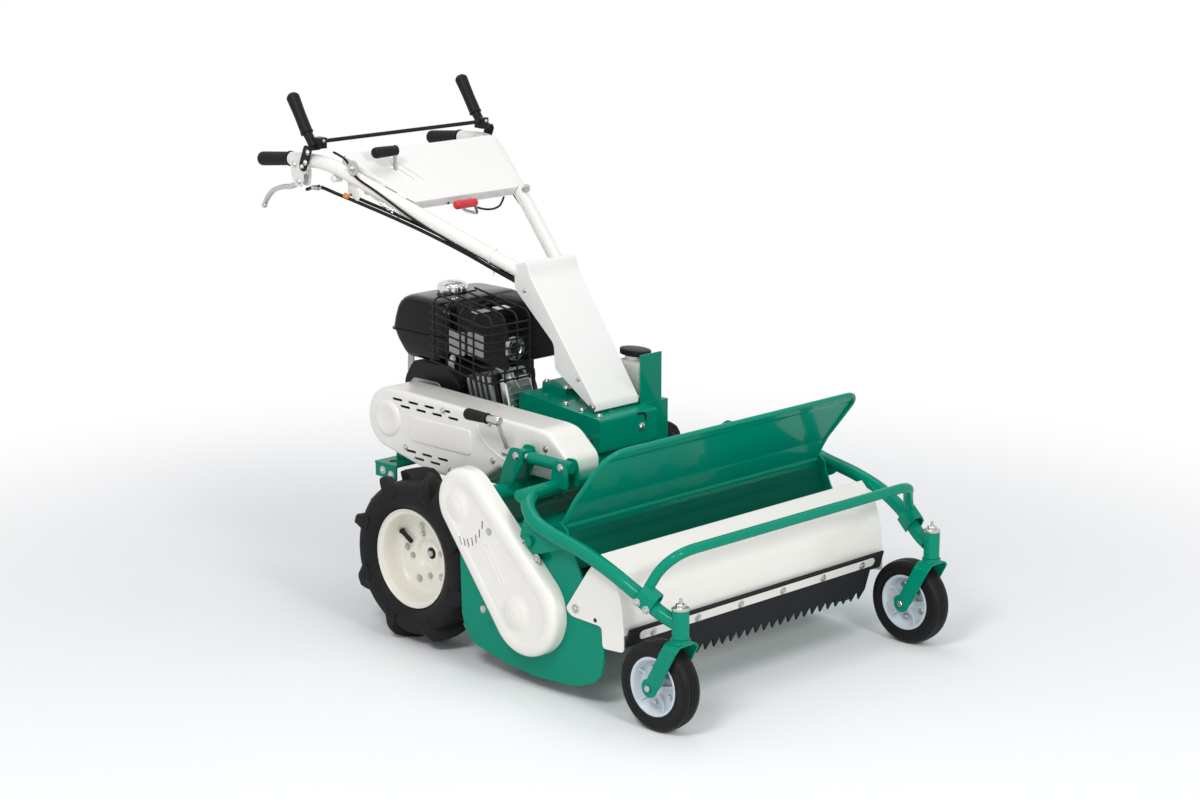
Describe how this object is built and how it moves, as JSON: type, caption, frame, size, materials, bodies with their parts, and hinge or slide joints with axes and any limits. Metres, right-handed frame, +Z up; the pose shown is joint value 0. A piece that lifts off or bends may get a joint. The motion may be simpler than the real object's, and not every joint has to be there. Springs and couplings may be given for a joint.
{
  "type": "hammer knife mower",
  "caption": "Walk-behind hammer knife mower: flail rotor in a full-width front deck, swivel casters, lugged drive wheels, engine behind and a handle at the rear.",
  "frame": {"origin": "on the ground, on the machine's middle plane, halfway along its length", "axes": "+Z up, -Y towards the cutter head, +Y towards the operator, +X the side away from the belt drive"},
  "size_m": [0.9569, 1.6033, 1.2381],
  "materials": {
    "green_enamel": "gloss",
    "white_enamel": "gloss",
    "cream_enamel": "semi-gloss",
    "black_enamel": "gloss",
    "white_plastic": "gloss",
    "black_rubber": "matt",
    "tyre_rubber": "matt",
    "cast_aluminium": "as cast",
    "zinc_plate": "zinc plated",
    "chrome_plate": "polished",
    "bare_steel": "machined",
    "grey_nylon": "matt",
    "red_plastic": "gloss",
    "black_plastic": "matt",
    "grey_plastic": "matt"
  },
  "bodies": {
    "chassis": {"main_frame": "green_enamel", "transmission_case": "green_enamel", "cross_tube": "green_enamel", "rear_hitch": "green_enamel", "belt_case": "white_enamel", "oil_reservoir": "grey_plastic", "main_belt": "black_rubber", "rotor_belt": "black_rubber", "engine_block": "cast_aluminium", "valve_cover": "cast_aluminium", "fuel_tank": "black_enamel", "muffler": "black_enamel", "muffler_guard": "black_enamel", "air_cleaner": "black_plastic", "recoil_starter": "black_enamel", "mower_deck": "green_enamel", "front_hood": "white_enamel", "front_flap": "black_rubber", "flap_strip": "white_enamel", "side_cover": "white_enamel", "rotor_bearing_cap": "cast_aluminium", "column_cover": "white_plastic", "handle_frame": "white_enamel", "control_panel": "white_enamel", "control_cable": "black_rubber", "hand_grip_near": "black_rubber", "hand_grip_far": "black_rubber"},
    "lift_frame": {"caster_frame": "green_enamel", "front_bar": "green_enamel"},
    "screw_tube": {"lift_screw_tube": "green_enamel"},
    "crank": {"lift_crank": "zinc_plate"},
    "crank_knob": {"crank_grip": "black_rubber"},
    "cover": {"deck_cover": "green_enamel"},
    "rotor_drum": {"rotor": "bare_steel", "lower_rotor_pulley": "bare_steel"},
    "cross_drive": {"cross_shaft": "bare_steel", "upper_rotor_pulley": "bare_steel"},
    "input_drive": {"input_pulley": "bare_steel"},
    "engine_drive": {"engine_pulley": "bare_steel"},
    "tank_cap": {"fuel_cap": "chrome_plate"},
    "rope_grip": {"starter_grip": "black_rubber"},
    "speed_control": {"speed_lever": "black_plastic"},
    "height_latch": {"red_lever": "red_plastic"},
    "travel_bail": {"control_bail": "black_enamel"},
    "knives_1": {"knife_row_1": "bare_steel"},
    "knives_2": {"knife_row_2": "bare_steel"},
    "knives_3": {"knife_row_3": "bare_steel"},
    "fork_near": {"caster_fork_near": "green_enamel"},
    "caster_near": {"caster_rim_near": "grey_nylon", "caster_tyre_near": "black_rubber"},
    "wheel_near": {"drive_rim_near": "cream_enamel", "drive_tyre_near": "tyre_rubber"},
    "lever_near": {"hand_lever_near": "cast_aluminium"},
    "fork_far": {"caster_fork_far": "green_enamel"},
    "caster_far": {"caster_rim_far": "grey_nylon", "caster_tyre_far": "black_rubber"},
    "wheel_far": {"drive_rim_far": "cream_enamel", "drive_tyre_far": "tyre_rubber"},
    "lever_far": {"hand_lever_far": "cast_aluminium"}
  },
  "joints": [
    {"name": "wheel_roll_near", "type": "hinge", "parent": "chassis", "child": "wheel_near", "pos_m": [-0.371, 0.113, 0.2057], "axis": [1, 0, 0], "continuous": true},
    {"name": "wheel_roll_far", "type": "hinge", "parent": "chassis", "child": "wheel_far", "pos_m": [0.371, 0.113, 0.2057], "axis": [1, 0, 0], "continuous": true},
    {"name": "cutting_height", "type": "hinge", "parent": "chassis", "child": "lift_frame", "pos_m": [0, -0.332, 0.348], "axis": [1, 0, 0], "range_deg": [-4, 2]},
    {"name": "screw_tube_pin", "type": "hinge", "parent": "lift_frame", "child": "screw_tube", "pos_m": [-0.312, -0.305, 0.485], "axis": [1, 0, 0], "range_deg": [-2.1, 4.2]},
    {"name": "caster_swivel_near", "type": "hinge", "parent": "lift_frame", "child": "fork_near", "pos_m": [-0.424, -0.76, 0.2055], "axis": [0, 0, 1], "continuous": true},
    {"name": "caster_roll_near", "type": "hinge", "parent": "fork_near", "child": "caster_near", "pos_m": [-0.424, -0.702, 0.1], "axis": [1, 0, 0], "continuous": true},
    {"name": "caster_swivel_far", "type": "hinge", "parent": "lift_frame", "child": "fork_far", "pos_m": [0.424, -0.76, 0.2055], "axis": [0, 0, 1], "continuous": true},
    {"name": "caster_roll_far", "type": "hinge", "parent": "fork_far", "child": "caster_far", "pos_m": [0.424, -0.702, 0.1], "axis": [1, 0, 0], "continuous": true},
    {"name": "height_crank", "type": "hinge", "parent": "chassis", "child": "crank", "pos_m": [-0.312, -0.118, 0.485], "axis": [0, 1, 0], "range_deg": [-100, 25]},
    {"name": "crank_grip_turn", "type": "hinge", "parent": "crank", "child": "crank_knob", "pos_m": [-0.335, -0.076, 0.56], "axis": [0, 1, 0], "continuous": true},
    {"name": "cover_hinge", "type": "hinge", "parent": "chassis", "child": "cover", "pos_m": [0, -0.405, 0.388], "axis": [1, 0, 0], "range_deg": [-30, 64]},
    {"name": "rotor_spin", "type": "hinge", "parent": "chassis", "child": "rotor_drum", "pos_m": [0, -0.325, 0.188], "axis": [1, 0, 0], "continuous": true},
    {"name": "knife_swing_1", "type": "hinge", "parent": "rotor_drum", "child": "knives_1", "pos_m": [0, -0.325, 0.116], "axis": [1, 0, 0], "range_deg": [-38, 38]},
    {"name": "knife_swing_2", "type": "hinge", "parent": "rotor_drum", "child": "knives_2", "pos_m": [0, -0.26265, 0.224], "axis": [1, 0, 0], "range_deg": [-38, 38]},
    {"name": "knife_swing_3", "type": "hinge", "parent": "rotor_drum", "child": "knives_3", "pos_m": [0, -0.38735, 0.224], "axis": [1, 0, 0], "range_deg": [-38, 38]},
    {"name": "cross_shaft_spin", "type": "hinge", "parent": "chassis", "child": "cross_drive", "pos_m": [0, -0.123, 0.397], "axis": [1, 0, 0], "continuous": true},
    {"name": "input_spin", "type": "hinge", "parent": "chassis", "child": "input_drive", "pos_m": [0, -0.16, 0.482], "axis": [1, 0, 0], "continuous": true},
    {"name": "engine_spin", "type": "hinge", "parent": "chassis", "child": "engine_drive", "pos_m": [0, 0.342, 0.481], "axis": [1, 0, 0], "continuous": true},
    {"name": "tank_cap_turn", "type": "hinge", "parent": "chassis", "child": "tank_cap", "pos_m": [-0.05, 0.356, 0.7485], "axis": [0, 0, 1], "range_deg": [0, 90]},
    {"name": "starter_pull", "type": "slide", "parent": "chassis", "child": "rope_grip", "axis": [0, 0.8, 0.6], "range_m": [0, 0.35], "stiffness_N_per_m": 20, "springref_m": -0.3},
    {"name": "speed_lever_turn", "type": "hinge", "parent": "chassis", "child": "speed_control", "pos_m": [-0.1355, 0.462, 1.008], "axis": [1, 0, 0], "range_deg": [0, 12]},
    {"name": "height_latch_turn", "type": "hinge", "parent": "chassis", "child": "height_latch", "pos_m": [0, 0.415, 0.981], "axis": [1, 0, 0], "range_deg": [0, 12]},
    {"name": "travel_bail_turn", "type": "hinge", "parent": "chassis", "child": "travel_bail", "pos_m": [0, 0.612, 1.062], "axis": [1, 0, 0], "range_deg": [-10, 10]},
    {"name": "hand_lever_near", "type": "hinge", "parent": "chassis", "child": "lever_near", "pos_m": [-0.277, 0.636, 1.022], "axis": [1, 0, 0], "range_deg": [0, 18], "stiffness_Nm_per_rad": 3, "springref_deg": -20.05},
    {"name": "hand_lever_far", "type": "hinge", "parent": "chassis", "child": "lever_far", "pos_m": [0.277, 0.636, 1.022], "axis": [1, 0, 0], "range_deg": [0, 18], "stiffness_Nm_per_rad": 3, "springref_deg": -20.05}
  ],
  "couplings": [
    {"joint": "screw_tube_pin", "follows": "cutting_height", "ratio": -1},
    {"joint": "cross_shaft_spin", "follows": "rotor_spin", "ratio": 1.387},
    {"joint": "input_spin", "follows": "rotor_spin", "ratio": 1.387},
    {"joint": "engine_spin", "follows": "rotor_spin", "ratio": 1.023}
  ]
}
